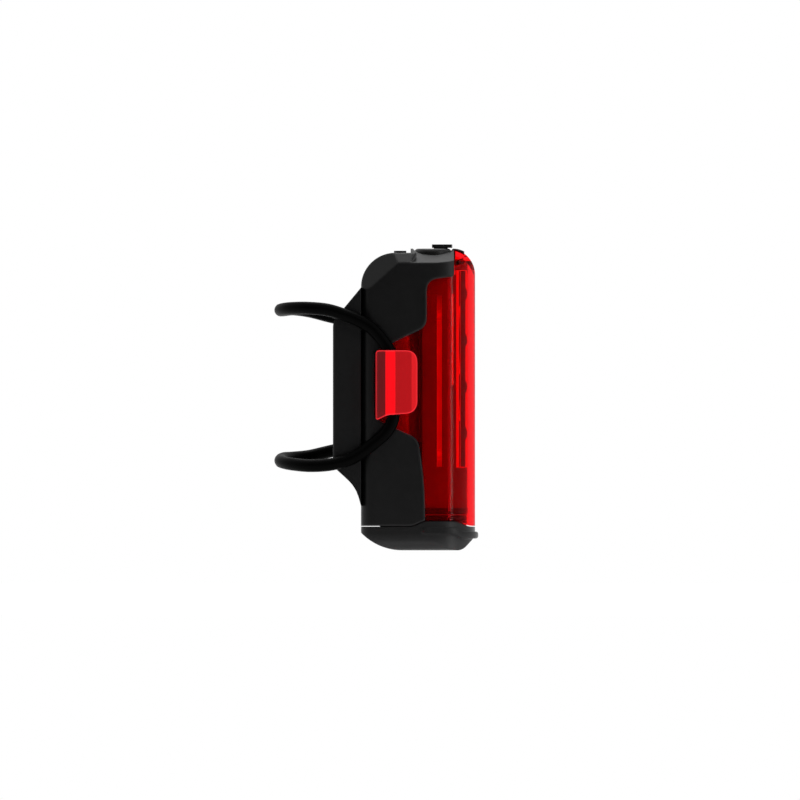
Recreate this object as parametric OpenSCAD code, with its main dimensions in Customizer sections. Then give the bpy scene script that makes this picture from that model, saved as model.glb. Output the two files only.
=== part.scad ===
// Bicycle rear light held on a post by a rubber loop.
// X points forward (the way the light shines), Z up, origin on the post axis. Millimetres.

/* [Post and saddle] */
// Diameter of the smallest post that the relaxed loop holds
post_d = 18.4; // [16:0.2:24]
// Gap between the post and the rear face of the housing
post_to_body = 0.25; // [0.15:0.05:1]
// Radial clearance of the saddle groove round the post
groove_clear = 0.1; // [0.05:0.05:0.2]
// Distance that the saddle stands out from the housing
saddle_proud = 7.28; // [6:0.1:8]
// Height of the saddle's upper tip above the origin
saddle_up = 16.5; // [12:0.1:20]
// Depth of the saddle's lower tip below the origin
saddle_down = 21.1; // [15:0.1:24]
// Height of the slope above the saddle's upper tip
saddle_top_rise = 8.8; // [4:0.1:9]
// Height of the concave foot below the saddle's lower tip
saddle_foot_drop = 10.3; // [8:0.1:12]
// Depth of the pocket that the saddle's base is set in
pocket_depth = 0.8; // [0.4:0.1:1]

/* [Body] */
// Width of the body
body_w = 22; // [21:0.5:28]
// Depth of the body from its rear face to the front of the lens
body_depth = 29.65; // [29:0.05:34]
// Height of the roof behind the button above the origin
roof_up = 34.35; // [33:0.05:40]
// Height that the button hump stands above the roof
hump_rise = 1.1; // [0.6:0.1:2]
// Depth of the body's lower rim below the origin
rim_down = 36.6; // [36:0.1:42]
// Thickness of the housing and lens walls
wall = 1.8; // [1.4:0.1:2.2]
// Radius of the upper rear corner in side view
rear_top_r = 8.9; // [5:0.1:10]
// Radius of the upper front corner in side view
front_top_r = 6.8; // [4.5:0.1:7]
// Radius of the long rear edges
edge_r = 3; // [2.4:0.1:4]
// Drop of the sloping roof facets from the hump to the sides
facet_drop = 3.7; // [2:0.1:4]
// Height of the shoulder facet's lower end below the roof
shoulder_down = 9.55; // [6:0.05:12]
// Slope of the shoulder facet's crease in side view, in degrees
shoulder_rise = 41.8; // [20:0.2:45]
// Angle between the shoulder facet and the side, in degrees
shoulder_lean = 44; // [30:1:55]
// Half width of the flat strip along the top of the hump
hump_flat = 0.8; // [0.5:0.1:3]
// Joint gap between the lens and the housing
seam = 0.1; // [0.05:0.05:0.2]

/* [Lens outline] */
// Distance of the lens edge behind the front at the top
lens_top_back = 5.4; // [4.5:0.1:6]
// Distance of the lens edge behind the front at mid height
lens_side_back = 12.5; // [11:0.1:13]
// Distance of the rear end of the lens wing behind the front
lens_wing_back = 26.1; // [25.4:0.1:26.4]
// Depth of the step in the lens edge below the top of the hump
lens_step_down = 7.3; // [6.4:0.1:9]
// Half height of the wing's rear end
wing_half = 8.7; // [8.4:0.1:9.5]
// Slope of the wing's upper and lower edges
wing_slope = 0.47; // [0.3:0.01:0.6]

/* [Hooks and strap] */
// Thickness of the rubber loop
strap_d = 3.4; // [2.6:0.1:3.6]
// Clearance round the loop inside the hooks
strap_clear = 0.3; // [0.3:0.05:0.6]
// Gap between the loop and the side of the body
strap_to_body = 0.5; // [0.3:0.05:1]
// Thickness of the hook's outer plate
hook_plate = 1.4; // [1:0.1:2]
// Length of the hook's outer plate, front to back
hook_len = 10.8; // [9:0.1:12]
// Height of the hook's upper end above the origin
hook_up = 9; // [8:0.1:10]
// Depth of the hook's lower front end below the origin
hook_down = 7.3; // [6.5:0.1:8]
// Further drop of the hook's lower rear tip
hook_tip_drop = 2; // [0.5:0.1:2.2]
// Thickness of the hook's root, front to back
hook_root = 2.4; // [1.6:0.1:2.6]

// Thickness of the hook's plate at its front and rear edges
hook_rim = 0.8; // [0.6:0.1:1.2]
// Distance of the hook's outer ridge from its rear edge
ridge_back = 2.5; // [1.5:0.1:4]
// Length of the hook's outer ridge, front to back
ridge_len = 2.6; // [1:0.1:4]
// Height of the loop's upper strands above the origin
loop_up = 20; // [17:0.1:22]
// Depth of the loop's lower strands below the origin
loop_down = 20.8; // [17:0.1:22]

/* [Button] */
// Distance of the button centre behind the front
button_back = 10.95; // [10.8:0.05:11.4]
// Radius of the recess that the button sits in
button_recess_r = 5.2; // [4.4:0.1:5.3]
// Clearance round the button
button_clear = 0.35; // [0.3:0.05:0.5]
// Travel of the button
button_travel = 0.6; // [0.3:0.05:0.8]
// Height of the press bar above the hump
bar_rise = 1.1; // [0.8:0.05:2]
// Length of the press bar
bar_len = 5.3; // [4:0.1:5.4]
// Width of the press bar
bar_w = 3.2; // [2:0.1:4.4]
// Length of the charge window
window_len = 3.25; // [2.4:0.05:3.6]
// Height that the charge window stands above the roof
window_rise = 0.55; // [0.3:0.05:0.8]

/* [Base cap] */
// Gap between the body rim and the cap
cap_gap = 0.25; // [0.2:0.05:0.5]
// Height of the cap from its rim to its flat bottom
cap_h = 6.1; // [5.6:0.1:9]
// Rise of the rim under the lens
rim_wave = 1.4; // [0.6:0.1:1.6]
// Radius of the cap's rear underside in side view
cap_rear_r = 15; // [13:0.5:18]
// Size of the cap's front chamfer
cap_chamfer = 3.5; // [2:0.1:3.6]
// Radius of the cap's lower long edges
cap_edge_r = 2.4; // [1.5:0.1:3]
// Clearance of the cap's neck inside the body
neck_clear = 0.4; // [0.35:0.05:0.6]
// Height of the cap's neck above its rim
neck_h = 3; // [2.6:0.1:3.2]
// Distance of the neck's rear end from the housing's rear face
neck_back = 4.9; // [4:0.1:6]
// Wall of the cap and of its neck
cap_wall = 1.4; // [1:0.1:1.8]
// Distance that the pull band stands out at the front, as a finger lip
lip_out = 0.9; // [0.6:0.1:1.5]
// Distance that the pull band stands out at the sides
grip_out = 0.35; // [0.2:0.05:0.6]
// Height of the pull band
band_h = 1.8; // [1.4:0.1:2.2]
// Distance that the pull band steps down at the front
band_step = 1.1; // [0.5:0.1:1.4]

/* [Electronics] */
// Thickness of the circuit boards
board_t = 1; // [0.8:0.1:1.2]
// Diameter of the battery cell
cell_d = 14.2; // [12:0.1:14.8]
// Length of the battery cell
cell_len = 50; // [40:0.5:51]
// Least gap between the battery and the charging socket below it
socket_gap = 0.5; // [0.3:0.1:3]
// Assembly gap between inner pieces
fit_gap = 0.2; // [0.1:0.05:0.3]
// Number of main light emitters
led_count = 4; // [3:1:4]
// Spacing of the light emitters
led_pitch = 12.1; // [11:0.1:12.5]
// Depth of the top light emitter below the top of the hump
led_down = 11.7; // [10.5:0.1:12.5]
// Thickness of the end plate below the boards
end_plate_t = 1.5; // [1:0.1:2]

/* [Hidden] */
$fn = 64;

far = 60;
half_w = body_w / 2;
rear_x = post_d / 2 + post_to_body;
front_x = rear_x + body_depth;
hump_top = roof_up + hump_rise;
nose_x = front_x - half_w;
button_x = front_x - button_back;
hump_margin = 0.6;
hump_x = button_x - button_recess_r - hump_margin;
lens_top_x = front_x - lens_top_back;
lens_side_x = front_x - lens_side_back;
wing_x = front_x - lens_wing_back;
lens_step_up = hump_top - lens_step_down;
led_top = hump_top - led_down;
led_low = led_top - (led_count - 1) * led_pitch;
least_r = 0.3;
overlap = 0.01;

/* Heights of what the body holds, from the button down to the rim, which leaves room for them */
recess_depth = 2.2;
recess_wall = 1;
switch_h = 2.2;
cell_drop = 2;
tab_t = 0.2;
usb_len = 7.2;
plate_dip = 1.2;
recess_floor = hump_top - recess_depth;
switch_top = recess_floor - recess_wall;
board_z = switch_top - switch_h - board_t;
cell_top = board_z - cell_drop;
cell_low = cell_top - cell_len;
plate_rise = rim_wave + neck_h - plate_dip;
rim_z = min(-rim_down, cell_low - tab_t - socket_gap - usb_len - plate_rise);

// Points of a path with each corner turned into a curve that starts r before it
function unit(v) = v / norm(v);
function bend(a, b, c, r, steps) =
    let (p = b + r * unit(a - b), q = b + r * unit(c - b))
    [for (i = [0:steps]) let (t = i / steps) (1 - t) * (1 - t) * p + 2 * t * (1 - t) * b + t * t * q];
function rounded(path, radii, steps = 8) = [
    for (i = [0:len(path) - 1])
        each i == 0 || i == len(path) - 1 || radii[i] == 0
            ? [path[i]]
            : bend(path[i - 1], path[i], path[i + 1], radii[i], steps)
];
// The same path moved sideways, to its left, by a distance
function beside(path, distance) = [
    for (i = [0:len(path) - 1])
        let (d = unit(path[min(i + 1, len(path) - 1)] - path[max(i - 1, 0)]))
        path[i] + distance * [-d.y, d.x]
];

// Places a side view outline, drawn as [x, z], across a width centred on Y = 0
module across(width) {
    rotate([90, 0, 0])
        translate([0, 0, -width / 2])
            linear_extrude(width)
                children();
}

// A block given by its lowest and highest corners
module block(low, high) {
    translate(low) cube(high - low);
}

// Both sides of a piece that is drawn on the near side
module both_sides() {
    children();
    mirror([0, 1, 0]) children();
}

/* Body form: rear block with rounded edges and shoulder facets, front block with roof facets and nose */
shoulder_in = 1.85;
roof_flat = 8.4;
roof_crease = hump_top - facet_drop;
roof_lean = atan((roof_up - roof_crease) / (half_w - roof_flat));

// What the shoulder facets take off the upper rear corners
module shoulder_cuts(inset) {
    both_sides()
        translate([rear_x + shoulder_in, -half_w, roof_up - shoulder_down])
            rotate([0, -shoulder_rise, 0]) rotate([-shoulder_lean, 0, 0])
                block([-far, -far, -far], [far, inset, far]);
}

// What the roof facets behind the hump take off the upper edges
module roof_cuts(inset) {
    both_sides()
        translate([0, -half_w, roof_crease])
            rotate([roof_lean, 0, 0])
                block([-far, -far, -inset], [far, far, far]);
}

// A strip out to a distance along X, with its two far corners rounded
module rounded_strip_2d(from, to, side, r) {
    translate([from, -side]) square([to - r - from, 2 * side]);
    translate([from, r - side]) square([to - from, 2 * (side - r)]);
    for (y = [r - side, side - r])
        translate([to - r, y]) circle(r);
}

module rear_block(inset) {
    r = edge_r - inset;
    side = half_w - inset;
    reach = rear_top_r - inset;
    corner = [rear_x + rear_top_r, 0, roof_up - rear_top_r];
    end_x = hump_x + inset;
    difference() {
        union() {
            translate([corner.x, 0, -far])
                linear_extrude(far + corner.z)
                    mirror([1, 0]) rounded_strip_2d(corner.x - end_x, reach, side, r);
            translate([corner.x, 0, corner.z]) {
                rotate([90, 0, 0]) rotate([0, 0, 90])
                    rotate_extrude(angle = 90) rounded_strip_2d(0, reach, side, r);
                rotate([0, -90, 0]) mirror([0, 0, 1])
                    linear_extrude(end_x - corner.x) rounded_strip_2d(0, reach, side, r);
            }
        }
        shoulder_cuts(inset);
        roof_cuts(inset);
    }
}

module front_side_2d(inset, r = front_top_r) {
    start = hump_x + inset;
    translate([start, -far]) square([front_x - inset - start, far + hump_top - r]);
    translate([start, -far]) square([front_x - r - start, far + hump_top - inset]);
    translate([front_x - r, hump_top - r]) circle(r - inset);
}

module roof_2d(inset) {
    side = half_w - inset;
    top = hump_top - inset;
    polygon([
        [-side, -far], [side, -far], [side, top - facet_drop],
        [hump_flat, top], [-hump_flat, top], [-side, top - facet_drop]
    ]);
}

module plan_2d(inset) {
    side = half_w - inset;
    rear = rear_x + inset;
    r = max(edge_r - inset, least_r);
    translate([nose_x, 0]) circle(side);
    translate([rear + r, -side]) square([nose_x - rear - r, 2 * side]);
    translate([rear, r - side]) square([nose_x - rear, 2 * (side - r)]);
    for (y = [r - side, side - r])
        translate([rear + r, y]) circle(r);
}

module front_block(inset) {
    intersection() {
        across(2 * body_w) front_side_2d(inset);
        rotate([90, 0, 90]) linear_extrude(far) roof_2d(inset);
        translate([0, 0, -far]) linear_extrude(2 * far) plan_2d(inset);
    }
}

// Front end of the rear block, which leans forward over the hump's facets
hump_lean = 1.5;
module leaning_end() {
    difference() {
        across(body_w)
            polygon([
                [hump_x - hump_lean, roof_crease], [hump_x, roof_crease],
                [hump_x + hump_lean, roof_up], [hump_x - hump_lean, roof_up]
            ]);
        roof_cuts(0);
    }
}

module body_form(inset) {
    rear_block(inset);
    front_block(inset);
}

/* Parting lines */
// Lower rim of the body in side view, from the rear to the front
wave_back = 3.8;
wave_lead = 1.75;
wave_rear = lens_side_x - wave_back;
wave_front = front_x - wave_lead;
wave_run = 3.1;
wave_r = 1.2;
rim_path = rounded(
    [
        [-far, rim_z], [wave_rear, rim_z], [wave_rear + wave_run, rim_z + rim_wave],
        [wave_front - wave_run, rim_z + rim_wave], [wave_front, rim_z], [far, rim_z]
    ],
    [0, wave_r, wave_r, wave_r, wave_r, 0]
);
// Edge of the lens in side view, from the top down
wing_rise = wing_slope * (lens_side_x - wing_x);
step_drop = 0.9;
step_r = 0.9;
side_r = 2.9;
wing_r = 2.4;
wing_end_r = 1.2;
low_back = 2.2;
low_share = 0.82;
foot_back = 0.6;
foot_up = 11;
foot_r = 6;
lens_path = rounded(
    [
        [lens_top_x, far], [lens_top_x, lens_step_up], [lens_side_x, lens_step_up - step_drop],
        [lens_side_x, wing_half + wing_rise], [wing_x, wing_half], [wing_x, -wing_half],
        [lens_side_x - low_back, -wing_half - wing_rise * low_share],
        [lens_side_x - foot_back, rim_z + foot_up], [lens_side_x, -far]
    ],
    [0, step_r, side_r, wing_r, wing_end_r, wing_end_r, wing_r, foot_r, 0]
);

module above_rim(gap) {
    across(2 * far)
        polygon(concat(beside(rim_path, gap), [[far, far], [-far, far]]));
}

module below_rim(gap) {
    across(2 * far)
        polygon(concat(beside(rim_path, -gap), [[far, -far], [-far, -far]]));
}

module lens_region(gap) {
    across(2 * far)
        polygon(concat(beside(lens_path, -gap), [[far, -far], [far, far]]));
}

// The thin black tongue that covers the top of the lens in front of the button
tongue_len = 2.6;
tongue_t = 0.5;
tongue_w = 3;
tongue_r = 0.82 * front_top_r;
module tongue(gap) {
    from = button_x + button_recess_r;
    across(tongue_w + 2 * gap)
        intersection() {
            translate([from, hump_top - front_top_r])
                square([lens_top_x + tongue_len + gap - from, far]);
            difference() {
                front_side_2d(0, tongue_r);
                translate([0, -tongue_t - gap]) front_side_2d(0);
            }
        }
}

// Key under the tongue that closes the joint in front of the button
key_out = 0.25;
key_drop = 1.4;
module lens_key(gap) {
    side = tongue_w / 2 + gap;
    block(
        [button_x + button_recess_r, -side, switch_top - key_drop],
        [lens_top_x + key_out + gap, side, hump_top - tongue_t]
    );
}

/* Button and charge window sizes */
button_r = button_recess_r - button_clear;
floor_gap = 0.1;
button_h = recess_depth - button_travel - floor_gap;
plunger_r = 1.5;
window_gap = 1.1;
window_x = hump_x - window_gap - window_len;
window_w = 3;
window_y = window_w / 2;

module window_2d(gap) {
    translate([window_x + window_y, 0]) circle(window_y + gap);
    translate([window_x + window_len - window_y, 0]) circle(window_y + gap);
    translate([window_x + window_y, -window_y - gap])
        square([window_len - window_w, window_w + 2 * gap]);
}

module rear_housing() {
    color("#1a1a1c") {
        difference() {
            intersection() {
                union() {
                    body_form(0);
                    leaning_end();
                }
                above_rim(0);
            }
            difference() {
                body_form(wall);
                translate([button_x, 0, recess_floor - recess_wall])
                    cylinder(h = far, r = button_recess_r + recess_wall);
            }
            lens_region(seam);
            translate([button_x, 0, recess_floor]) cylinder(h = far, r = button_recess_r);
            translate([button_x, 0, 0]) cylinder(h = far, r = plunger_r + button_clear);
            translate([0, 0, roof_up - 2 * wall]) linear_extrude(far) window_2d(fit_gap);
            saddle_base(fit_gap / 2);
        }
        tongue(0);
        lens_key(0);
    }
}

/* Hook sizes, shared by the lens and the strap */
strap_y = half_w + strap_to_body + strap_d / 2;
hook_in = strap_y + strap_d / 2 + strap_clear;
hook_out = hook_in + hook_plate;
wing_margin = 0.3;
hook_back = wing_x + wing_margin;
root_front = hook_back + hook_root;
hook_front = hook_back + hook_len;
hook_low = -hook_down - hook_tip_drop;
hook_corner = 3.2;
hook_edge_r = 1;
hook_bevel = 1.5;
bevel_t = (hook_plate + hook_rim) / 2;
tip_len = 3;
tip_step = 0.5;
root_margin = 2.5;

// Side view of the hook's plate
module hook_plate_2d() {
    polygon(rounded(
        [
            [hook_back, 0], [hook_back, hook_up], [hook_front, hook_up], [hook_front, -hook_down],
            [hook_back + tip_len, -hook_down - tip_step], [hook_back, hook_low], [hook_back, 0]
        ],
        [0, hook_edge_r, hook_corner, hook_corner, hook_edge_r, hook_edge_r, 0]
    ));
}

// Section of the hook's plate from above: a ridge with a facet to each side
module hook_section_2d() {
    ridge = hook_back + ridge_back;
    polygon([
        [hook_back, -hook_in], [hook_back, -hook_in - hook_rim], [ridge, -hook_out],
        [ridge + ridge_len, -hook_out], [hook_front - hook_bevel, -hook_in - bevel_t],
        [hook_front, -hook_in - hook_rim], [hook_front, -hook_in]
    ]);
}

module hook_root_2d() {
    r = hook_root / 2;
    low = hook_low + root_margin;
    high = hook_up - root_margin;
    translate([hook_back, low + r]) square([hook_root, high - low - 2 * r]);
    for (z = [low + r, high - r])
        translate([hook_back + r, z]) circle(r);
}

module front_lens() {
    color("#b0101a") {
        difference() {
            intersection() {
                body_form(0);
                lens_region(0);
                above_rim(0);
            }
            body_form(wall);
            tongue(seam);
            lens_key(seam);
        }
        both_sides() {
            intersection() {
                across(2 * far) hook_plate_2d();
                translate([0, 0, -far]) linear_extrude(2 * far) hook_section_2d();
            }
            translate([0, -half_w + wall / 2, 0]) rotate([90, 0, 0])
                linear_extrude(hook_in - half_w + wall / 2 + hook_rim / 2) hook_root_2d();
        }
    }
}

/* Saddle */
saddle_x = rear_x - saddle_proud;
saddle_edge = 1;
saddle_top = saddle_up + saddle_top_rise;
saddle_foot = -saddle_down - saddle_foot_drop;
base_margin = 3;

module saddle_base(gap) {
    low = saddle_foot + base_margin;
    high = saddle_top - base_margin;
    side = half_w - edge_r;
    block(
        [rear_x - saddle_edge, -side - gap, low - gap],
        [rear_x + pocket_depth + gap, side + gap, high + gap]
    );
}

module post_saddle() {
    tip_r = 1.5;
    heel_r = 3;
    heel_out = 1.3;
    heel_drop = 5.5;
    outline = rounded(
        [
            [rear_x, saddle_top], [saddle_x, saddle_up], [saddle_x, -saddle_down],
            [rear_x - heel_out, -saddle_down - heel_drop], [rear_x, saddle_foot]
        ],
        [0, tip_r, tip_r, heel_r, 0]
    );
    color("#18181a")
        difference() {
            union() {
                intersection() {
                    across(body_w) polygon(outline);
                    translate([0, 0, -far]) linear_extrude(2 * far) {
                        translate([saddle_x + saddle_edge, -half_w]) square([far, body_w]);
                        translate([saddle_x, saddle_edge - half_w])
                            square([far, body_w - 2 * saddle_edge]);
                        for (y = [saddle_edge - half_w, half_w - saddle_edge])
                            translate([saddle_x + saddle_edge, y]) circle(saddle_edge);
                    }
                }
                saddle_base(0);
            }
            translate([0, 0, -far]) cylinder(h = 2 * far, r = post_d / 2 + groove_clear, $fn = 128);
        }
}

/* Rubber loop: one closed tube through points on its near and far halves */
strap_r = strap_d / 2;
strap_x = root_front + strap_clear + strap_r;
strap_rear = -post_d / 2 - strap_clear - strap_r;
// Each row gives shares: along from the rear to the hook, out from the middle, and up or down
near_top = [
    [1.007, 1, 0.1], [0.997, 1, 0.3], [0.965, 1, 0.46], [0.837, 1, 0.7], [0.715, 1, 0.82],
    [0.597, 1, 0.892], [0.424, 1.008, 0.972], [0.25, 0.924, 0.998], [0.104, 0.667, 0.997],
    [0.02, 0.348, 0.985]
];
far_top = [
    [0.02, 0.348, 0.976], [0.104, 0.667, 0.988], [0.25, 0.924, 0.961], [0.424, 1.008, 0.897],
    [0.597, 1, 0.835], [0.715, 1, 0.77], [0.837, 1, 0.665], [0.965, 1, 0.45],
    [0.997, 1, 0.3], [1.007, 1, 0.1]
];
far_low = [
    [1.007, 1, 0.144], [1, 1, 0.337], [0.976, 1, 0.481], [0.861, 1, 0.64], [0.715, 1, 0.73],
    [0.597, 1, 0.778], [0.424, 1.008, 0.834], [0.25, 0.924, 0.89], [0.104, 0.667, 0.911],
    [0.02, 0.348, 0.919]
];
near_low = [
    [0.02, 0.348, 0.968], [0.104, 0.667, 0.99], [0.25, 0.924, 1.008], [0.424, 1.008, 0.995],
    [0.597, 1, 0.938], [0.715, 1, 0.85], [0.806, 1, 0.755], [0.938, 1, 0.596],
    [1, 1, 0.433], [1.007, 1, 0.24]
];
turn_top = [[-0.008, 0, 0.974]];
turn_low = [[-0.008, 0, 0.944]];
function placed(rows, side, height) = [
    for (row = rows)
        [strap_rear + row.x * (strap_x - strap_rear), side * row.y * strap_y, row.z * height]
];
loop_points = concat(
    placed(near_top, -1, loop_up), placed(turn_top, 1, loop_up), placed(far_top, 1, loop_up),
    placed(far_low, 1, -loop_down), placed(turn_low, 1, -loop_down), placed(near_low, -1, -loop_down)
);
loop_count = len(loop_points);
function loop_point(i) = loop_points[(i + loop_count) % loop_count];
// Smooth curve through the points, with two rings to each
function curve(a, b, c, d, t) =
    0.5 * (2 * b + (c - a) * t + (2 * a - 5 * b + 4 * c - d) * t * t + (3 * b - a - 3 * c + d) * t * t * t);
loop_path = [
    for (i = [0:loop_count - 1], t = [0, 0.5])
        curve(loop_point(i - 1), loop_point(i), loop_point(i + 1), loop_point(i + 2), t)
];
ring_count = len(loop_path);
ring_sides = 12;
loop_middle = [(strap_rear + strap_x) / 2, 0, 0];
function ring(i) =
    let (
        along = unit(loop_path[(i + 1) % ring_count] - loop_path[(i + ring_count - 1) % ring_count]),
        out = unit(loop_path[i] - loop_middle),
        u = unit(out - (out * along) * along),
        v = cross(along, u)
    )
    [for (k = [0:ring_sides - 1]) let (a = 360 * k / ring_sides)
        loop_path[i] + strap_r * (cos(a) * u + sin(a) * v)];

module mounting_strap() {
    points = [for (i = [0:ring_count - 1]) each ring(i)];
    faces = [
        for (i = [0:ring_count - 1], k = [0:ring_sides - 1])
            let (
                j = (i + 1) % ring_count,
                n = (k + 1) % ring_sides,
                a = i * ring_sides + k,
                b = i * ring_sides + n,
                c = j * ring_sides + n,
                d = j * ring_sides + k
            )
            each [[a, c, b], [a, d, c]]
    ];
    color("#0c0c0d") polyhedron(points, faces);
}

/* Power button */
bar_h = 0.9;
bar_over = 0.2;
bar_foot = 0.5;
bar_x = button_x + button_r + bar_over - bar_len;

module power_button() {
    top_r = 1;
    base = hump_top - button_h;
    color("#161617") {
        translate([button_x, 0, base])
            rotate_extrude() {
                square([button_r, button_h - top_r]);
                square([button_r - top_r, button_h]);
                intersection() {
                    translate([button_r - top_r, button_h - top_r]) circle(top_r, $fn = 32);
                    square([button_r, button_h]);
                }
            }
        block(
            [bar_x + bar_foot, -bar_w / 2 + bar_foot, hump_top - top_r],
            [button_x + button_r - top_r, bar_w / 2 - bar_foot, hump_top + bar_rise - bar_h]
        );
        intersection() {
            block(
                [bar_x, -bar_w / 2, hump_top + bar_rise - bar_h],
                [button_x + button_recess_r, bar_w / 2, hump_top + bar_rise]
            );
            translate([button_x, 0, base]) cylinder(h = far, r = button_r + bar_over);
        }
    }
}

module button_plunger() {
    top = hump_top - button_h;
    bottom = switch_top + fit_gap;
    color("#d8d8d4")
        translate([button_x, 0, bottom]) cylinder(h = top - bottom, r = plunger_r);
}

/* Boards, from the top down */
cell_x = rear_x + wall + fit_gap + cell_d / 2;
cell_to_board = 0.85;
main_x = cell_x + cell_d / 2 + cell_to_board;
board_margin = 0.6;
shroud_gap = 0.25;
shroud_t = 0.8;
shroud_inset = wall + shroud_gap;
main_half = half_w - shroud_inset - shroud_t - shroud_gap;
plate_low = rim_z + plate_rise;
plate_top = plate_low + end_plate_t;
main_low = plate_top + fit_gap;
led_back = 6.3;
led_face = front_x - led_back;
led_board_x = led_face - board_t;
led_board_half = 6;
led_board_under = 11.4;
led_board_low = led_low - led_board_under;
led_board_over = 1.2;

module tactile_switch() {
    case_w = 4.5;
    case_h = 1.4;
    stem_r = 1;
    press_gap = 0.05;
    travel_gap = button_travel - fit_gap + press_gap;
    color("#3a3a3d")
        translate([button_x, 0, board_z + board_t]) {
            translate([-case_w / 2, -case_w / 2, 0]) cube([case_w, case_w, case_h]);
            cylinder(h = switch_h - travel_gap, r = stem_r);
        }
}

module switch_board() {
    tail = 2;
    half = led_board_half;
    color("#1d5a34")
        block([window_x - tail, -half, board_z], [led_board_x - fit_gap, half, board_z + board_t]);
}

module status_window() {
    led_room = 1;
    low = board_z + board_t + led_room;
    color("#c8322e")
        translate([0, 0, low]) linear_extrude(roof_up + window_rise - low) window_2d(0);
}

module status_led() {
    chip_len = 1.6;
    chip_w = 0.8;
    chip_h = 0.6;
    color("#f2efe0")
        translate([window_x + (window_len - chip_len) / 2, -chip_w / 2, board_z + board_t])
            cube([chip_len, chip_w, chip_h]);
}

usb_w = 8.9;
usb_t = 3.2;
usb_sheet = 0.3;
usb_x = main_x - fit_gap - usb_t / 2;

module usb_2d(inset) {
    r = usb_t / 2 - inset;
    for (y = [-1, 1])
        translate([usb_x, y * (usb_w - usb_t) / 2]) circle(r);
    translate([usb_x - r, -(usb_w - usb_t) / 2]) square([2 * r, usb_w - usb_t]);
}

module usb_shell() {
    color("#b9bcc0")
        translate([0, 0, plate_low])
            linear_extrude(usb_len)
                difference() {
                    usb_2d(0);
                    usb_2d(usb_sheet);
                }
}

module usb_tongue() {
    blade_t = 0.7;
    blade_w = 6.6;
    set_in = 0.6;
    heel_h = 1.5;
    color("#202022")
        translate([0, 0, plate_low]) {
            translate([usb_x - blade_t / 2, -blade_w / 2, set_in])
                cube([blade_t, blade_w, usb_len - 2 * set_in]);
            translate([0, 0, usb_len - floor_gap - heel_h]) linear_extrude(heel_h) usb_2d(usb_sheet);
        }
}

module end_plate() {
    color("#151517")
        difference() {
            translate([0, 0, plate_low])
                linear_extrude(end_plate_t) plan_2d(wall + fit_gap / 2);
            translate([0, 0, -far]) linear_extrude(far) usb_2d(-fit_gap);
        }
}

screw_r = 0.8;
screw_head_r = 1.4;
screw_margin = 1.7;
screw_y = main_half - screw_margin;
screw_z = 18;
screw_places = [for (y = [-screw_y, screw_y], z = [screw_z, -screw_z]) [y, z]];
chassis_t = 1.2;
chassis_share = 0.533;
chassis_gap = chassis_share * (led_board_x - main_x - board_t - chassis_t);
chassis_x = main_x + board_t + chassis_gap;

module at_screws(x) {
    for (place = screw_places)
        translate([x, place.x, place.y]) rotate([0, 90, 0]) children();
}

module main_board() {
    color("#1d5a34")
        difference() {
            block([main_x, -main_half, main_low], [main_x + board_t, main_half, board_z]);
            at_screws(main_x - board_t) cylinder(h = 3 * board_t, r = screw_r + fit_gap);
        }
}

module inner_chassis() {
    rail_t = 1.8;
    rail_y = led_board_half - 0.8;
    side_gap = 0.4;
    boss_wall = 1;
    bridge = 3;
    pin_slot = 3;
    half = main_half - side_gap;
    low = led_board_low - boss_wall;
    high = board_z - fit_gap;
    slot_half = rail_y - boss_wall;
    slot_x = chassis_x - overlap;
    window_h = led_pitch - bridge;
    color("#2b2b2e")
        difference() {
            union() {
                block([chassis_x, -half, low], [chassis_x + chassis_t, half, high]);
                both_sides() block([chassis_x, rail_y, low], [led_board_x, rail_y + rail_t, high]);
                at_screws(main_x + board_t) cylinder(h = chassis_gap + chassis_t, r = screw_r + boss_wall);
            }
            at_screws(main_x) cylinder(h = far, r = screw_r);
            for (i = [0:led_count - 1])
                translate([slot_x, -slot_half, led_top - i * led_pitch - window_h / 2])
                    cube([far, 2 * slot_half, window_h]);
            translate([slot_x, -slot_half, led_board_low]) cube([far, 2 * slot_half, pin_slot]);
        }
}

module board_screws() {
    head_h = 0.9;
    thread_gap = 0.05;
    color("#8d9094") {
        at_screws(main_x - head_h) cylinder(h = head_h, r = screw_head_r);
        at_screws(main_x - thread_gap)
            cylinder(h = board_t + chassis_gap + chassis_t, r = screw_r - thread_gap);
    }
}

module board_pins() {
    pin_r = 0.35;
    pin_pitch = 2;
    pin_up = 1.5;
    color("#c9a648")
        for (i = [-1.5:1.5])
            translate([main_x + board_t, i * pin_pitch, led_board_low + pin_up])
                rotate([0, 90, 0]) cylinder(h = led_board_x - main_x - board_t, r = pin_r);
}

module charge_controller() {
    chip_w = 3;
    chip_t = 0.9;
    up = 1.4;
    edge = main_half - board_margin;
    color("#161618")
        block([main_x - chip_t, edge - chip_w, main_low + up], [main_x, edge, main_low + up + chip_w]);
}

module led_driver() {
    chip_w = 3;
    chip_t = 0.8;
    color("#161618")
        translate([main_x + board_t, -chip_w / 2, led_top - chip_w / 2]) cube([chip_t, chip_w, chip_w]);
}

module board_capacitors() {
    count = 4;
    pitch = 1.7;
    part = [0.7, 1.9, 1];
    edge = 1;
    color("#b58b54")
        for (i = [0:count - 1])
            translate([main_x - part.x, edge - main_half, main_low + edge + pitch * i]) cube(part);
}

module led_board() {
    color("#e9e7df")
        block(
            [led_board_x, -led_board_half, led_board_low],
            [led_face, led_board_half, board_z + led_board_over]
        );
}

module at_leds(x) {
    for (i = [0:led_count - 1])
        translate([x, 0, led_top - i * led_pitch]) children();
}

led_w = 3;
led_t = 0.7;
reflector_t = 1.1;
optic_x = led_face + reflector_t + fit_gap / 2;
optic_t = 1;
optic_under = 8.7;
optic_over = 5.9;
optic_low = led_low - optic_under;
optic_high = led_top + optic_over;

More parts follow.
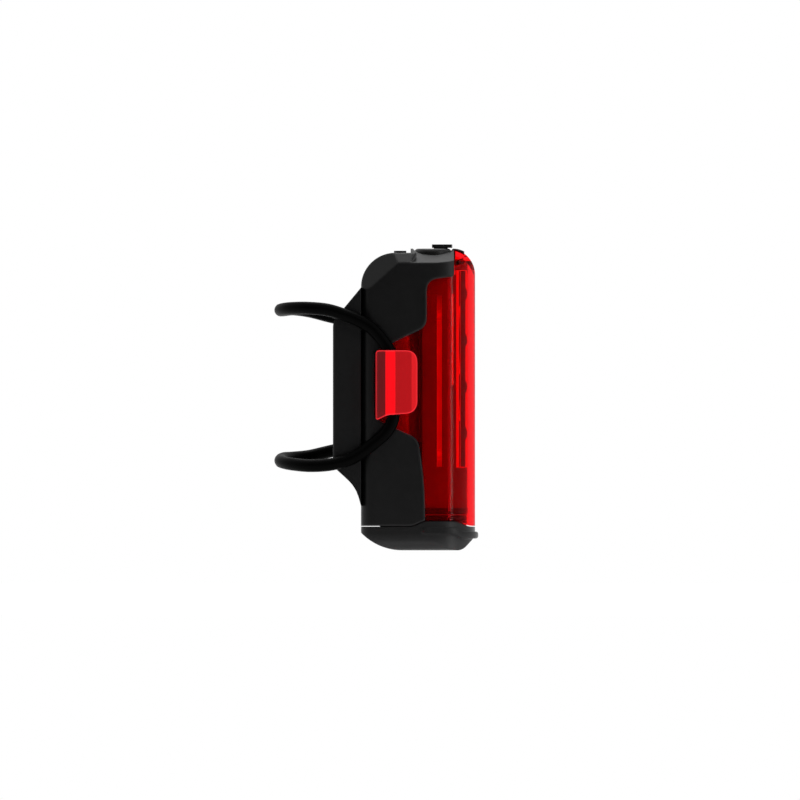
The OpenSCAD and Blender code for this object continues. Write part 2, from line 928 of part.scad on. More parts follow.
module led_emitters() {
    color("#f4eebc")
        at_leds(led_face) translate([0, -led_w / 2, -led_w / 2]) cube([led_t, led_w, led_w]);
}

module led_reflector() {
    cup_back = 2.4;
    cup_front = 4.6;
    half = led_board_half - 2 * fit_gap;
    color("#d9d9da")
        difference() {
            block([led_face, -half, optic_low], [led_face + reflector_t, half, optic_high]);
            at_leds(led_face - overlap)
                rotate([0, 90, 0]) cylinder(h = reflector_t + 2 * overlap, r1 = cup_back, r2 = cup_front);
        }
}

// Bar in front of the emitters, with a rib along it and a half-round pillow over each emitter
module inner_optic() {
    optic_half = 4.9;
    rib_half = 2.4;
    rib_out = 1.3;
    pillow_r = 4.2;
    pillow_out = 1.6;
    pillow_half = 2.9;
    front = optic_x + optic_t;
    color("#d01822") {
        block([optic_x, -optic_half, optic_low], [front, optic_half, optic_high]);
        block([optic_x, -rib_half, optic_low], [front + rib_out, rib_half, optic_high]);
        intersection() {
            at_leds(front + pillow_out - pillow_r)
                rotate([90, 0, 0]) cylinder(h = 2 * pillow_half, r = pillow_r, center = true);
            block([front - optic_t / 4, -far, -far], [far, far, far]);
        }
    }
}

// Half-round light shield inside the lens, with a window for the optic and slots beside it
module light_shroud() {
    back = 1.2;
    room = 2 * fit_gap;
    from = lens_side_x - back;
    top = hump_top - facet_drop - 2 * shroud_gap;
    side_slots = [[chassis_x, chassis_t, optic_low, led_top - room], [led_face, fit_gap * 3, 0, led_top]];
    color("#3a3a3d")
        difference() {
            intersection() {
                difference() {
                    front_block(shroud_inset);
                    front_block(shroud_inset + shroud_t);
                }
                block([from, -far, plate_top], [far, far, top]);
            }
            block([-far, -far, board_z - room], [led_face + room, far, far]);
            translate([button_x, 0, board_z]) cylinder(h = far, r = button_recess_r + recess_wall + fit_gap);
            block([led_face + reflector_t, -far, optic_low - fit_gap], [far, far, optic_high + fit_gap]);
            for (slot = side_slots)
                block([slot[0], -far, slot[2]], [slot[0] + slot[1], far, slot[3]]);
        }
}

module battery_cell() {
    button_r = 3;
    button_h = 0.8;
    color("#3f6fa8")
        translate([cell_x, 0, cell_low]) {
            cylinder(h = cell_len - button_h, r = cell_d / 2);
            cylinder(h = cell_len, r = button_r);
        }
}

module battery_pad() {
    depth = 2.4;
    half = 4;
    end_gap = 8;
    color("#5a5a5c")
        difference() {
            block(
                [main_x - depth, -half, cell_low + end_gap],
                [main_x - fit_gap / 2, half, cell_top - end_gap]
            );
            translate([cell_x, 0, -far]) cylinder(h = 2 * far, r = cell_d / 2 + fit_gap / 2);
        }
}

module battery_tabs() {
    tab_half = 2;
    color("#c4c6c8")
        for (z = [cell_top, cell_low - tab_t])
            block([cell_x - tab_half, -tab_half, z], [main_x, tab_half, z + tab_t]);
}

/* Base cap */
cap_top = rim_z - cap_gap;
cap_low = cap_top - cap_h;
neck_inset = wall + neck_clear;
neck_dip = 0.2;
neck_top = rim_z + neck_h - neck_dip;
neck_rear = rear_x + neck_back;
rear_band = 1.5;
chamfer_run = 0.94;
chamfer_r = 1.4;

module cap_side_2d(inset) {
    r = cap_rear_r;
    curve_x = rear_x + sqrt(r * r - pow(r - cap_h + rear_band, 2));
    base = cap_low + inset;
    front = front_x - inset;
    intersection() {
        polygon(rounded(
            [
                [0, far], [0, base], [front_x - chamfer_run * cap_chamfer, base],
                [front, base + cap_chamfer], [front, far]
            ],
            [0, 0, chamfer_r, chamfer_r, 0]
        ));
        union() {
            translate([curve_x, cap_low + r]) circle(r - inset, $fn = 128);
            translate([curve_x, -far]) square([far, 2 * far]);
            translate([0, cap_top - rear_band]) square([far, far]);
        }
    }
}

module cap_end_2d() {
    r = cap_edge_r;
    translate([-half_w, cap_low + r]) square([body_w, far]);
    translate([r - half_w, cap_low]) square([body_w - 2 * r, far]);
    for (y = [r - half_w, half_w - r])
        translate([y, cap_low + r]) circle(r);
}

module neck_2d(inset) {
    intersection() {
        plan_2d(neck_inset + inset);
        translate([neck_rear + inset, -far]) square([far, 2 * far]);
    }
}

// Pull band: from the side grips it steps down to the front, where it stands out as a finger lip
band_down = 0.15;
band_back = 1.35;
turn_back = 5.6;
turn_run = 2.6;
band_top = cap_top - band_down;
band_x = lens_side_x - band_back;
band_nose_x = nose_x + lip_out - grip_out;
turn_x = front_x - turn_back;

module band_side_2d() {
    end_r = 0.45 * band_h;
    turn_r = 0.8;
    tip_r = 0.75;
    tip_flat = 0.05;
    top = band_top;
    lip = band_top - band_step;
    tip = front_x + lip_out - tip_flat;
    polygon(rounded(
        [
            [band_x, top - band_h / 2], [band_x, top], [turn_x, top], [turn_x + turn_run, lip], [tip, lip],
            [tip, lip - band_h], [turn_x + turn_run, lip - band_h], [turn_x, top - band_h],
            [band_x, top - band_h], [band_x, top - band_h / 2]
        ],
        [0, end_r, turn_r, turn_r, tip_r, tip_r, turn_r, turn_r, end_r, 0],
        4
    ));
}

module band_plan_2d() {
    side = half_w + grip_out;
    translate([band_nose_x, 0]) circle(side);
    translate([band_x, -side]) square([band_nose_x - band_x, 2 * side]);
}

module pull_band() {
    intersection() {
        across(2 * far) band_side_2d();
        translate([0, 0, -far]) linear_extrude(far) band_plan_2d();
    }
}

module base_cap() {
    seal_groove = 0.5;
    color("#1c1c1e")
        difference() {
            union() {
                intersection() {
                    translate([0, 0, -far]) linear_extrude(2 * far) plan_2d(0);
                    below_rim(cap_gap);
                    across(2 * far) cap_side_2d(0);
                    rotate([90, 0, 90]) linear_extrude(far) cap_end_2d();
                }
                pull_band();
                translate([0, 0, cap_top - rear_band])
                    linear_extrude(neck_top - cap_top + rear_band) neck_2d(0);
            }
            translate([0, 0, seal_low]) linear_extrude(seal_h)
                difference() {
                    neck_2d(-neck_clear);
                    neck_2d(seal_groove);
                }
            intersection() {
                translate([0, 0, -far]) linear_extrude(2 * far) neck_2d(cap_wall);
                across(2 * far) cap_side_2d(cap_wall);
            }
        }
}

seal_h = 0.9;
seal_down = 0.5;
seal_low = neck_top - seal_h - seal_down;
seal_out = 0.1;
seal_play = 0.05;

module cap_seal() {
    seal_in = 0.45;
    color("#0e0e0f")
        translate([0, 0, seal_low + seal_play])
            linear_extrude(seal_h - 2 * seal_play)
                difference() {
                    neck_2d(-seal_out);
                    neck_2d(seal_in);
                }
}

rear_housing();
front_lens();
post_saddle();
mounting_strap();
power_button();
button_plunger();
tactile_switch();
switch_board();
status_window();
status_led();
base_cap();
cap_seal();
end_plate();
usb_shell();
usb_tongue();
main_board();
led_board();
led_emitters();
led_reflector();
inner_optic();
inner_chassis();
battery_cell();
battery_pad();
battery_tabs();
charge_controller();
led_driver();
board_capacitors();
board_pins();
board_screws();
light_shroud();
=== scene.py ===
import math

import bpy
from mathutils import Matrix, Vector


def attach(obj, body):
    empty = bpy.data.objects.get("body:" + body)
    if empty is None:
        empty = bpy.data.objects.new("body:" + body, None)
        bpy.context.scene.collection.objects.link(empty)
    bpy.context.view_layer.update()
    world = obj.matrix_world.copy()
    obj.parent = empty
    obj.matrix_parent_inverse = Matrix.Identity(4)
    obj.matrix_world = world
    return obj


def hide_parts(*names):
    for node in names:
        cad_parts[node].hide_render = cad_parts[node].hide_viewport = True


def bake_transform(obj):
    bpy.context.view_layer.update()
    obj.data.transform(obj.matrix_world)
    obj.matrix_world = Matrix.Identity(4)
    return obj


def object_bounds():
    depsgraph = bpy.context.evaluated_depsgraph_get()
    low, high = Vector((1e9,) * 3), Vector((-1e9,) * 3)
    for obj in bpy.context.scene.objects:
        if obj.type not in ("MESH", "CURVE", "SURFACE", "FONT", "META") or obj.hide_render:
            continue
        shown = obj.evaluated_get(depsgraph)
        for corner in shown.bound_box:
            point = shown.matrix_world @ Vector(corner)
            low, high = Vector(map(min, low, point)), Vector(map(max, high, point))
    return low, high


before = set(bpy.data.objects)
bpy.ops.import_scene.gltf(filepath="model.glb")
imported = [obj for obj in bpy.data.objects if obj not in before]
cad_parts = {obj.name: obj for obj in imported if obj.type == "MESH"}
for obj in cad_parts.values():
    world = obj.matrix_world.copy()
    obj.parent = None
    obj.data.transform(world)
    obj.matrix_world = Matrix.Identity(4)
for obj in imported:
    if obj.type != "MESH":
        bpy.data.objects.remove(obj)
cad_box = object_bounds()

# Camera: a long lens square to the light's right side, level with the middle of the picture,
# and so far away that the body shows almost no perspective.
picture_w = 0.208
picture_x = 0.01959
picture_z = -0.0039
camera_away = 8.0
camera_data = bpy.data.cameras.new("side_camera")
camera_data.sensor_width = 36
camera_data.lens = camera_data.sensor_width * camera_away / picture_w
camera = bpy.data.objects.new("side_camera", camera_data)
camera.location = (picture_x, -camera_away, picture_z)
camera.rotation_euler = (math.radians(90), 0, 0)
bpy.context.scene.collection.objects.link(camera)
bpy.context.scene.camera = camera
bpy.context.scene.view_settings.view_transform = "Standard"


# Studio: a pale floor, low enough for the cap to be pulled off above it, in a white room that is dim
# behind the camera, with a softbox overhead, a strip high on the camera's side and one by the lens.
# The camera sees the room as white.
class Value:
    """A shader value. Arithmetic on it adds Math nodes, and node() adds any other node."""

    def __init__(self, tree, socket=None):
        self.tree = tree
        self.socket = socket

    def node(self, kind, inputs=None, out=0, stops=(), **settings):
        made = self.tree.nodes.new("ShaderNode" + kind)
        for name, setting in settings.items():
            setattr(made, name, setting)
        for place, (position, colour) in enumerate(stops):
            ramp = made.color_ramp.elements
            element = ramp[place] if place < len(ramp) else ramp.new(position)
            element.position = position
            element.color = colour
        for name, value in (inputs or {}).items():
            if isinstance(value, Value):
                self.tree.links.new(value.socket, made.inputs[name])
            else:
                made.inputs[name].default_value = value
        return Value(self.tree, made.outputs[out] if made.outputs else None)

    def maths(self, operation, first, second):
        return self.node("Math", {0: first, 1: second}, operation=operation)

    def __add__(self, other):
        return self.maths("ADD", self, other)

    def __radd__(self, other):
        return self.maths("ADD", other, self)

    def __sub__(self, other):
        return self.maths("SUBTRACT", self, other)

    def __rsub__(self, other):
        return self.maths("SUBTRACT", other, self)

    def __mul__(self, other):
        return self.maths("MULTIPLY", self, other)

    def __rmul__(self, other):
        return self.maths("MULTIPLY", other, self)


def seen_rays(tree, *kinds):
    rays = [tree.node("LightPath", out=f"Is {kind} Ray") for kind in kinds]
    seen = rays[0]
    for ray in rays[1:]:
        seen = tree.maths("MAXIMUM", seen, ray)
    return seen


white = (1, 1, 1, 1)
room_light = 0.75
dim_wall = 0.06
dim_until = -0.75
bright_from = -0.2
world = bpy.data.worlds.new("white_room")
world.use_nodes = True
world.node_tree.nodes.clear()
room = Value(world.node_tree)
depth = room.node("SeparateXYZ", {"Vector": room.node("TexCoord", out="Generated")}, out="Y")
wall = room.node("MapRange", {
    "Value": depth, "From Min": dim_until, "From Max": bright_from, "To Min": dim_wall, "To Max": 1,
})
clear_view = seen_rays(room, "Camera", "Transmission")
mirrored = seen_rays(room, "Glossy") * (1 - clear_view)
room_shader = room.node("Background", {
    "Color": white,
    "Strength": room_light + (1 - room_light) * clear_view + mirrored * (wall - room_light),
})
room.node("OutputWorld", {"Surface": room_shader})
bpy.context.scene.world = world


def finish(name):
    made = bpy.data.materials.new(name)
    made.use_nodes = True
    made.node_tree.nodes.clear()
    return made, Value(made.node_tree)


def piece(name, points, faces, material):
    mesh = bpy.data.meshes.new(name)
    mesh.from_pydata(points, [], faces)
    mesh.update()
    mesh.materials.append(material)
    made = bpy.data.objects.new(name, mesh)
    bpy.context.scene.collection.objects.link(made)
    return made


floor_half = 0.6
cap_travel = 0.012
floor_gap = 0.0005
floor_z = cad_box[0].z - cap_travel - floor_gap
floor_corners = [
    (picture_x + x * floor_half, y * floor_half, floor_z) for x, y in ((-1, -1), (1, -1), (1, 1), (-1, 1))
]
floor_pale = (0.86, 0.86, 0.86, 1)
floor_glow = 0.42
floor_paper, paper = finish("floor_paper")
paper_lit = paper.node("BsdfDiffuse", {"Color": floor_pale})
paper_view = seen_rays(paper, "Camera", "Glossy", "Transmission")
paper_seen = paper.node("Emission", {"Color": white, "Strength": floor_glow * paper_view})
paper.node("OutputMaterial", {"Surface": paper.node("AddShader", {0: paper_lit, 1: paper_seen})})
floor = piece("floor", floor_corners, [(0, 1, 2, 3)], floor_paper)


def softbox(name, place, aim, width, height, watts):
    data = bpy.data.lights.new(name, "AREA")
    data.shape = "RECTANGLE"
    data.size = width
    data.size_y = height
    data.energy = watts
    lamp = bpy.data.objects.new(name, data)
    lamp.location = place
    lamp.rotation_euler = (Vector(aim) - Vector(place)).to_track_quat("-Z", "Y").to_euler()
    bpy.context.scene.collection.objects.link(lamp)


softbox("overhead_softbox", (0.02, 0.2, 0.56), (0.02, 0, 0), 0.4, 0.4, 2.1)
softbox("front_strip", (0.02, -0.58, 0.56), (0.02, 0, 0), 1.0, 0.08, 1.2)
softbox("lens_strip", (0.42, -0.3, 0.05), (0.03, 0, 0), 0.08, 0.5, 1.0)


# Rear housing: a black plastic shell with a fine eroded texture, moulded in one piece with the recess
# for the button and the stepped edge that the lens is welded to.
mix_first, mix_second, mix_result = 6, 7, 2


def mixed(tree, factor, first, second):
    inputs = {"Factor": factor, mix_first: first, mix_second: second}
    return tree.node("Mix", inputs, out=mix_result, data_type="RGBA")


def opaque(colour, share=1):
    return [share * c for c in colour] + [1]


def edge_share(tree, corner, gentle, sharp):
    """0 on flat faces, and 1 where the rounded normal differs most from the face's own."""
    flat = tree.node("NewGeometry", out="Normal")
    same = tree.node("VectorMath", {0: corner, 1: flat}, out="Value", operation="DOT_PRODUCT")
    return tree.node("MapRange", {
        "Value": same, "From Min": gentle, "From Max": sharp, "To Min": 0, "To Max": 1,
    })


def moulded(name, colour, roughness, shine, grain, relief, edge=0.00025, wear_and_highlight=None, painted_light_by_height=None):
    """Plastic or rubber from a mould. grain is the texture's scale and relief its strength, edge the
    corner radius, wear_and_highlight the colour of the lighter corners, which stand for real rubbing and a
    painted highlight, and painted_light_by_height a tone painted in between two heights, a painted shade
    where it is darker and a painted light where it is lighter."""
    made, tree = finish(name)
    place = tree.node("TexCoord", out="Object")
    mottle = tree.node("TexNoise", {"Vector": place, "Scale": 160, "Detail": 4})
    speck = tree.node("TexNoise", {"Vector": place, "Scale": grain, "Detail": 2})
    corner = tree.node("Bevel", {"Radius": edge}, samples=6)
    # Corners and creases are painted lighter: partly real rubbing from use, partly a painted highlight.
    rubbed_and_highlit = edge_share(tree, corner, 0.999, 0.93)
    shade = mixed(tree, mottle, opaque(colour, 0.75), opaque(colour, 1.25))
    worn_and_painted = mixed(tree, rubbed_and_highlit * mottle, shade, opaque(wear_and_highlight) if wear_and_highlight else opaque(colour, 2.5))
    # Painted light and shade by height: between two heights the colour moves to the given tone.
    if painted_light_by_height:
        start, end, painted_tone = painted_light_by_height
        height = tree.node("SeparateXYZ", {"Vector": place}, out="Z")
        share = tree.node("MapRange", {
            "Value": height, "From Min": start, "From Max": end, "To Min": 0, "To Max": 1,
        })
        worn_and_painted = mixed(tree, share * (0.6 + 0.8 * mottle), worn_and_painted, opaque(painted_tone))
    relief_normal = tree.node("Bump", {
        "Strength": relief, "Distance": 0.00003, "Height": speck, "Normal": corner,
    })
    surface = tree.node("BsdfPrincipled", {
        "Base Color": worn_and_painted,
        "Roughness": roughness + 0.14 * (mottle - 0.5) - 0.06 * rubbed_and_highlit,
        "Specular IOR Level": shine,
        "Normal": relief_normal,
    })
    tree.node("OutputMaterial", {"Surface": surface})
    return made


def cover(material, *nodes):
    for node in nodes:
        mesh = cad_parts[node].data
        mesh.materials.clear()
        mesh.materials.append(material)


# The shell's lighter corners are mostly a painted highlight along its creases, with some real rubbing.
shell_black = moulded(
    "shell_black", (0.0013, 0.0013, 0.0014), 0.38, 0.15, 5200, 0.25, edge=0.0008, wear_and_highlight=(0.022, 0.022, 0.0225),
)
cover(shell_black, "rear_housing")

# Post saddle: soft black rubber pad set in a pocket of the housing, with a groove that grips
# the post. It is moulded with a coarser, duller skin than the shell.
saddle_rubber = moulded("saddle_rubber", (0.0016, 0.0016, 0.0017), 0.5, 0.13, 3000, 0.4)
cover(saddle_rubber, "post_saddle")


# Boards, cell and other inner pieces: ordinary electronics, screwed and soldered together on
# the chassis before the lens is welded on. They show dimly through the red.
def solder_mask(name, colour, copper):
    made, tree = finish(name)
    place = tree.node("TexCoord", out="Object")
    weave = tree.node("TexNoise", {"Vector": place, "Scale": 900, "Detail": 3})
    tracks = tree.node("TexVoronoi", {"Vector": place, "Scale": 420}, feature="DISTANCE_TO_EDGE")
    under = tree.node("ValToRGB", {"Fac": tracks}, stops=[(0.05, (0, 0, 0, 1)), (0.12, white)])
    shade = mixed(tree, under, copper, colour)
    surface = tree.node("BsdfPrincipled", {
        "Base Color": shade,
        "Roughness": 0.25 + 0.2 * weave,
        "Normal": tree.node("Bump", {"Strength": 0.2, "Distance": 0.00003, "Height": under}),
    })
    tree.node("OutputMaterial", {"Surface": surface})
    return made


def metal(name, colour, roughness):
    made, tree = finish(name)
    place = tree.node("TexCoord", out="Object")
    brushed = tree.node("TexNoise", {
        "Vector": tree.node("Mapping", {"Vector": place, "Scale": (1, 1, 0.08)}), "Scale": 6000, "Detail": 3,
    })
    surface = tree.node("BsdfPrincipled", {
        "Base Color": colour,
        "Metallic": 1,
        "Roughness": roughness + 0.15 * (brushed - 0.5),
        "Normal": tree.node("Bump", {"Strength": 0.15, "Distance": 0.00001, "Height": brushed}),
    })
    tree.node("OutputMaterial", {"Surface": surface})
    return made


cover(solder_mask("board_mask", (0.22, 0.2, 0.19, 1), (0.3, 0.26, 0.22, 1)), "main_board", "switch_board")
cover(solder_mask("led_board_mask", (0.72, 0.71, 0.68, 1), (0.62, 0.6, 0.56, 1)), "led_board")
cover(metal("bright_steel", (0.58, 0.58, 0.59, 1), 0.3), "usb_shell", "board_screws", "battery_tabs")
cover(metal("plated_brass", (0.72, 0.52, 0.22, 1), 0.28), "board_pins")
cover(metal("mirror_tray", (0.82, 0.82, 0.83, 1), 0.18), "led_reflector")
cover(moulded("chip_resin", (0.02, 0.02, 0.021), 0.5, 0.3, 4000, 0.3),
      "charge_controller", "led_driver", "usb_tongue", "tactile_switch")
cover(moulded("end_plate_plastic", (0.012, 0.012, 0.012), 0.5, 0.2, 4000, 0.2), "end_plate")
# The chassis is painted darker towards its top: a painted shade over its upper end.
chassis_white = moulded(
    "chassis_white", (0.92, 0.92, 0.9), 0.5, 0.4, 3000, 0.2, painted_light_by_height=(0.017, 0.027, (0.16, 0.16, 0.16)),
)
cover(chassis_white, "inner_chassis")
shroud_grey = moulded("shroud_grey", (0.085, 0.085, 0.085), 0.55, 0.2, 3000, 0.2)
cover(shroud_grey, "light_shroud")
cover(moulded("plunger_white", (0.7, 0.7, 0.68), 0.45, 0.4, 3000, 0.2), "button_plunger")
cover(moulded("cell_sleeve", (0.12, 0.16, 0.32), 0.3, 0.5, 700, 0.1), "battery_cell")
cover(moulded("pad_foam", (0.1, 0.1, 0.1), 0.9, 0.1, 1400, 1.0), "battery_pad")
cover(moulded("capacitor_ceramic", (0.4, 0.25, 0.12), 0.55, 0.4, 2500, 0.2), "board_capacitors")

# Shroud ribs: two thin ribs on the shroud's top, moulded with it. They follow the lens's roof from
# inside and stop stray light there.
rib_in = 0.0022
rib_t = 0.0006
rib_line = [
    (0.0339, 0.03127), (0.03625, 0.03127), (0.036, 0.0317),
    (0.0353, 0.0323), (0.0346, 0.0325), (0.0339, 0.0325),
]
rib_points = []
rib_faces = []
for near, far in ((-rib_in - rib_t, -rib_in), (rib_in, rib_in + rib_t)):
    start, turns = len(rib_points), len(rib_line)
    rib_points += [(x, y, z) for y in (near, far) for x, z in rib_line]
    rib_faces.append([start + k for k in range(turns)])
    rib_faces.append([start + turns + k for k in reversed(range(turns))])
    for k in range(turns):
        after = (k + 1) % turns
        rib_faces.append([start + k, start + turns + k, start + turns + after, start + after])
ribs = piece("shroud_ribs", rib_points, rib_faces, shroud_grey)
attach(ribs, "housing")


# Emitters: square packages with a yellow phosphor, soldered to the white board, and the small
# status emitter of the same make under the charge window.
def phosphor():
    made, tree = finish("emitter_phosphor")
    place = tree.node("TexCoord", out="Object")
    grains = tree.node("TexNoise", {"Vector": place, "Scale": 7000, "Detail": 2})
    shade = mixed(tree, grains, (0.85, 0.66, 0.18, 1), (0.95, 0.82, 0.4, 1))
    surface = tree.node("BsdfPrincipled", {
        "Base Color": shade,
        "Roughness": 0.25 + 0.3 * grains,
        "Normal": tree.node("Bump", {"Strength": 0.3, "Distance": 0.00002, "Height": grains}),
    })
    tree.node("OutputMaterial", {"Surface": surface})
    return made


cover(phosphor(), "led_emitters", "status_led")


# Front lens: one clear red moulding, 1.8 mm thick, with the wings and the strap hooks in the same
# shot. The hooks are cloudy from their grained faces, and lamps shine through both.
def flow_lines(tree):
    place = tree.node("TexCoord", out="Object")
    drawn = tree.node("Mapping", {"Vector": place, "Scale": (1, 1, 0.25)})
    return tree.node("TexNoise", {"Vector": drawn, "Scale": 260, "Detail": 3})


def ripples(tree, flow, strength):
    return tree.node("Bump", {"Strength": strength, "Distance": 0.00004, "Height": flow})


def lamps_pass(tree, skin, colour):
    through = tree.node("BsdfTransparent", {"Color": opaque(colour)})
    lamp_ray = tree.node("LightPath", out="Is Shadow Ray")
    tree.node("OutputMaterial", {"Surface": tree.node("MixShader", {0: lamp_ray, 1: skin, 2: through})})


def polished_red(name, colour, ior, mirror, ripple):
    """Clear plastic that bends light by ior. mirror is the share of its outer reflection that is kept."""
    made, tree = finish(name)
    flow = flow_lines(tree)
    wavy = ripples(tree, flow, ripple)
    tint = [c ** 0.5 for c in colour] + [1]
    bent = tree.node("BsdfRefraction", {"Color": tint, "Roughness": 0.03 * flow, "IOR": ior, "Normal": wavy})
    gloss = tree.node("BsdfGlossy", {"Color": white, "Roughness": 0.05 + 0.03 * flow, "Normal": wavy})
    inner = tree.node("NewGeometry", out="Backfacing")
    share = tree.node("Fresnel", {"IOR": ior, "Normal": wavy}) * (mirror + (1 - mirror) * inner)
    lamps_pass(tree, tree.node("MixShader", {0: share, 1: bent, 2: gloss}), colour)
    return made


hook_ior = 1.4
hook_glint = (1, 0.1, 0.13, 1)
painted_rim_width = 0.0009


def clear_red(name, colour, roughness, cloud, ripple, painted_rim=None):
    """Clear plastic with cloud as the share that scatters light, and painted_rim as the colour of a painted
    glow on its corners.
    """
    made, tree = finish(name)
    flow = flow_lines(tree)
    shade = mixed(tree, flow, opaque(colour, 0.94), opaque(colour))
    if painted_rim:
        # A painted glow: corners within the given width are painted a brighter red.
        corner = tree.node("Bevel", {"Radius": painted_rim_width}, samples=8)
        shade = mixed(tree, edge_share(tree, corner, 0.995, 0.9), shade, opaque(painted_rim))
    surface = tree.node("BsdfPrincipled", {
        "Base Color": shade,
        "Roughness": roughness + 0.03 * flow,
        "IOR": hook_ior,
        "Transmission Weight": 1 - cloud,
        "Specular Tint": hook_glint,
        "Normal": ripples(tree, flow, ripple),
    })
    lamps_pass(tree, surface, colour)
    return made


lens_colour = (0.95, 0.01, 0.016)
lens_red = polished_red("lens_red", lens_colour, 1.3, 0.2, 0.05)
crown_red = polished_red("crown_red", lens_colour, 1.01, 0.2, 0.05)
hook_painted_rim_glow = (0.9, 0.03, 0.04)
# The hook faces are coloured by which way they lean: a painted shade on the rear faces, a painted glow on the
# ridge, a painted half shade on the front, and painted light on the bevels and edges.
hook_painted_facets = [
    clear_red("hook_edge_painted_glow", (0.95, 0.03, 0.04), 0.12, 0.8, 0.15, hook_painted_rim_glow),
    clear_red("hook_rear_painted_shade", (0.16, 0.012, 0.014), 0.12, 0.8, 0.15, hook_painted_rim_glow),
    clear_red("hook_ridge_painted_glow", (0.97, 0.006, 0.012), 0.12, 0.95, 0.15, hook_painted_rim_glow),
    clear_red("hook_front_painted_half_shade", (0.45, 0.009, 0.012), 0.12, 0.85, 0.15, hook_painted_rim_glow),
    clear_red("hook_bevel_painted_light", (0.7, 0.015, 0.02), 0.12, 0.85, 0.15, hook_painted_rim_glow),
]
hook_from = 0.0111
plate_from = 0.0155
crown_from = 0.0255
crown_slope = 0.04
plate_flat = 0.9
rear_lean, ridge_lean, front_lean = -0.1, 0.03, 0.13
on_lens, on_edge, on_rear, on_ridge, on_front, on_bevel, on_crown = range(7)
cover(lens_red, "front_lens")
lens_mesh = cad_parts["front_lens"].data
for lens_finish in hook_painted_facets + [crown_red]:
    lens_mesh.materials.append(lens_finish)
for face in lens_mesh.polygons:
    lean = face.normal.x
    if abs(face.center.y) < hook_from:
        sloping = abs(face.normal.z) > crown_slope and face.center.z > crown_from
        face.material_index = on_crown if sloping else on_lens
    elif abs(face.normal.y) < plate_flat or abs(face.center.y) < plate_from:
        face.material_index = on_edge
    elif lean < rear_lean:
        face.material_index = on_rear
    elif lean < ridge_lean:
        face.material_index = on_ridge
    else:
        face.material_index = on_front if lean < front_lean else on_bevel
optic_clear = clear_red("optic_clear", (0.96, 0.1, 0.11), 0.02, 0.0, 0.05)
optic_frosted = clear_red("optic_frosted", (0.06, 0.006, 0.008), 0.3, 0.9, 0.2)
frosted_from = 0.0351
cover(optic_clear, "inner_optic")
optic_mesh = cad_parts["inner_optic"].data
optic_mesh.materials.append(optic_frosted)
for face in optic_mesh.polygons:
    face.material_index = int(face.center.x > frosted_from)

# Cap gasket: a ring of black foam glued under the end plate, open in the middle for the charging
# socket. The cap's neck closes on it, and it keeps light out of the gap between them.
gasket_rear = 0.0118
gasket_mid = 0.0281
gasket_half = 0.0088
gasket_band = 0.0012
gasket_top = -0.03342
gasket_t = 0.00028
gasket_steps = 24


def gasket_line(inset):
    half = gasket_half - inset
    turns = [math.pi * (k / gasket_steps - 0.5) for k in range(gasket_steps + 1)]
    front = [(gasket_mid + half * math.cos(turn), half * math.sin(turn)) for turn in turns]
    return front + [(gasket_rear + inset, half), (gasket_rear + inset, -half)]


outer, inner = gasket_line(0), gasket_line(gasket_band)
gasket_points = [
    (x, y, z) for z in (gasket_top - gasket_t, gasket_top) for line in (outer, inner) for x, y in line
]
sides = len(outer)
gasket_faces = []
for k in range(sides):
    after = (k + 1) % sides
    low_out, low_in, high_out, high_in = (ring * sides for ring in range(4))
    gasket_faces += [
        (low_out + k, low_in + k, low_in + after, low_out + after),
        (high_out + k, high_out + after, high_in + after, high_in + k),
        (low_out + k, low_out + after, high_out + after, high_out + k),
        (low_in + k, high_in + k, high_in + after, low_in + after),
    ]
gasket_foam = moulded("gasket_foam", (0.01, 0.01, 0.01), 0.9, 0.1, 1400, 0.6)
gasket = piece("cap_gasket", gasket_points, gasket_faces, gasket_foam)
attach(gasket, "housing")

# Button and charge window: a soft black button with a press bar, over its recess in the hump,
# and a smoked window that stands a little proud of the roof behind it.
button_rubber = moulded("button_rubber", (0.0012, 0.0012, 0.0012), 0.42, 0.2, 4200, 0.3)
cover(button_rubber, "power_button")
cover(moulded("smoked_window", (0.002, 0.0015, 0.0015), 0.22, 0.3, 2500, 0.05), "status_window")

# Base cap: the same black plastic as the shell with a smoother skin, pulled off by its front lip.
# A rubber ring seals its neck in the body.
# The cap is painted paler towards its bottom edge: a painted reflection of the floor below.
cap_black = moulded(
    "cap_black", (0.0016, 0.0016, 0.0017), 0.36, 0.19, 5200, 0.2, edge=0.0006,
    painted_light_by_height=(-0.0385, -0.0429, (0.024, 0.024, 0.0245)),
)
cover(cap_black, "base_cap")
cover(moulded("seal_rubber", (0.006, 0.006, 0.006), 0.55, 0.15, 3000, 0.2), "cap_seal")

# Mounting strap: a moulded rubber loop, round in section, with the mould's parting line as a faint
# ridge along both sides. It hangs in the hooks and stretches at the rear round the post.
strap_r = 0.0017
strap_rear = -0.0112
strap_x = 0.0177
strap_y = 0.0132
loop_up = 0.020
loop_down = 0.0208
near_top = [
    (1.007, 1, 0.1), (0.997, 1, 0.3), (0.965, 1, 0.46), (0.837, 1, 0.7), (0.715, 1, 0.82),
    (0.597, 1, 0.892), (0.424, 1.008, 0.972), (0.25, 0.924, 0.998), (0.104, 0.667, 0.997),
    (0.02, 0.348, 0.985),
]
far_top = [
    (0.02, 0.348, 0.976), (0.104, 0.667, 0.988), (0.25, 0.924, 0.961), (0.424, 1.008, 0.897),
    (0.597, 1, 0.835), (0.715, 1, 0.77), (0.837, 1, 0.665), (0.965, 1, 0.45), (0.997, 1, 0.3),
    (1.007, 1, 0.1),
]
far_low = [
    (1.007, 1, 0.144), (1, 1, 0.337), (0.976, 1, 0.481), (0.861, 1, 0.64), (0.715, 1, 0.73),
    (0.597, 1, 0.778), (0.424, 1.008, 0.834), (0.25, 0.924, 0.89), (0.104, 0.667, 0.911),
    (0.02, 0.348, 0.919),
]
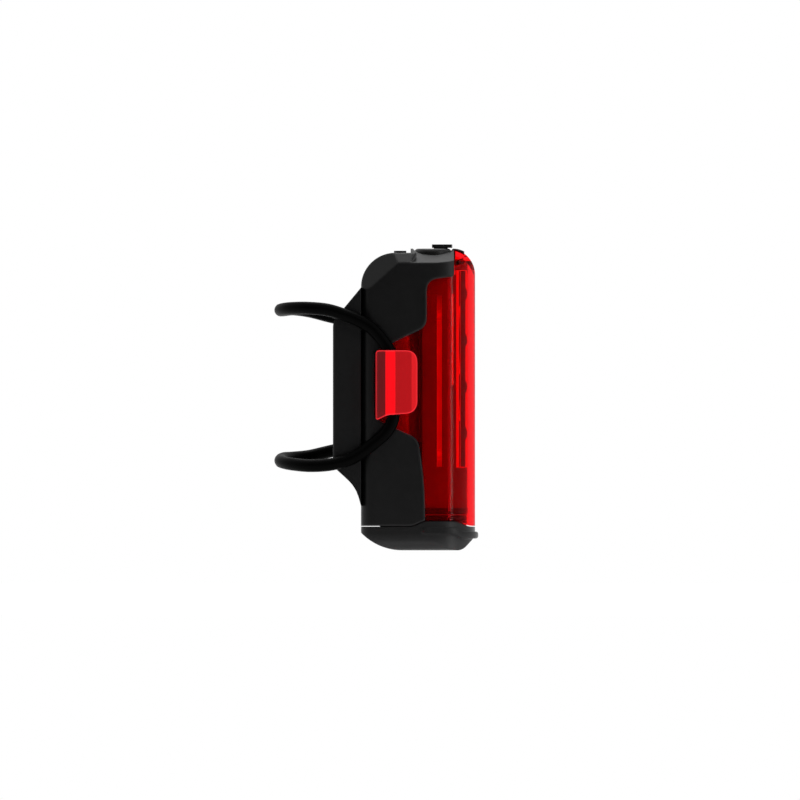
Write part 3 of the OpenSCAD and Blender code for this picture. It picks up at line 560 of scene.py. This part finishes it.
near_low = [
    (0.02, 0.348, 0.968), (0.104, 0.667, 0.99), (0.25, 0.924, 1.008), (0.424, 1.008, 0.995),
    (0.597, 1, 0.938), (0.715, 1, 0.85), (0.806, 1, 0.755), (0.938, 1, 0.596),
    (1, 1, 0.433), (1.007, 1, 0.24),
]
turn_top = [(-0.008, 0, 0.974)]
turn_low = [(-0.008, 0, 0.944)]


def placed(rows, side, height):
    return [
        Vector((strap_rear + along * (strap_x - strap_rear), side * out * strap_y, up * height))
        for along, out, up in rows
    ]


loop_points = (
    placed(near_top, -1, loop_up) + placed(turn_top, 1, loop_up) + placed(far_top, 1, loop_up)
    + placed(far_low, 1, -loop_down) + placed(turn_low, 1, -loop_down) + placed(near_low, -1, -loop_down)
)
rings_to_point = 6
ring_sides = 24
ridge_up = 0.00005


def between(a, b, c, d, t):
    return 0.5 * (
        2 * b + (c - a) * t + (2 * a - 5 * b + 4 * c - d) * t**2 + (3 * b - a - 3 * c + d) * t**3
    )


count = len(loop_points)
loop_path = [
    between(*(loop_points[(i + k) % count] for k in (-1, 0, 1, 2)), step / rings_to_point)
    for i in range(count)
    for step in range(rings_to_point)
]
loop_middle = Vector(((strap_rear + strap_x) / 2, 0, 0))
rings = len(loop_path)
strap_points = []
for i, centre in enumerate(loop_path):
    along = (loop_path[(i + 1) % rings] - loop_path[i - 1]).normalized()
    out = centre - loop_middle
    out = (out - out.dot(along) * along).normalized()
    side = along.cross(out)
    for k in range(ring_sides):
        turn = 2 * math.pi * k / ring_sides
        r = strap_r - ridge_up + (ridge_up if k % (ring_sides // 2) == 0 else 0)
        strap_points.append(centre + r * (math.cos(turn) * out + math.sin(turn) * side))
strap_faces = [
    (
        i * ring_sides + k,
        i * ring_sides + (k + 1) % ring_sides,
        (i + 1) % rings * ring_sides + (k + 1) % ring_sides,
        (i + 1) % rings * ring_sides + k,
    )
    for i in range(rings)
    for k in range(ring_sides)
]
strap_rubber = moulded("strap_rubber", (0.0004, 0.0004, 0.0004), 0.42, 0.02, 3600, 0.25)
strap = piece("strap_loop", strap_points, strap_faces, strap_rubber)
strap.data.polygons.foreach_set("use_smooth", [True] * len(strap_faces))
strap.data.update()
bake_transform(strap)
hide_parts("mounting_strap")
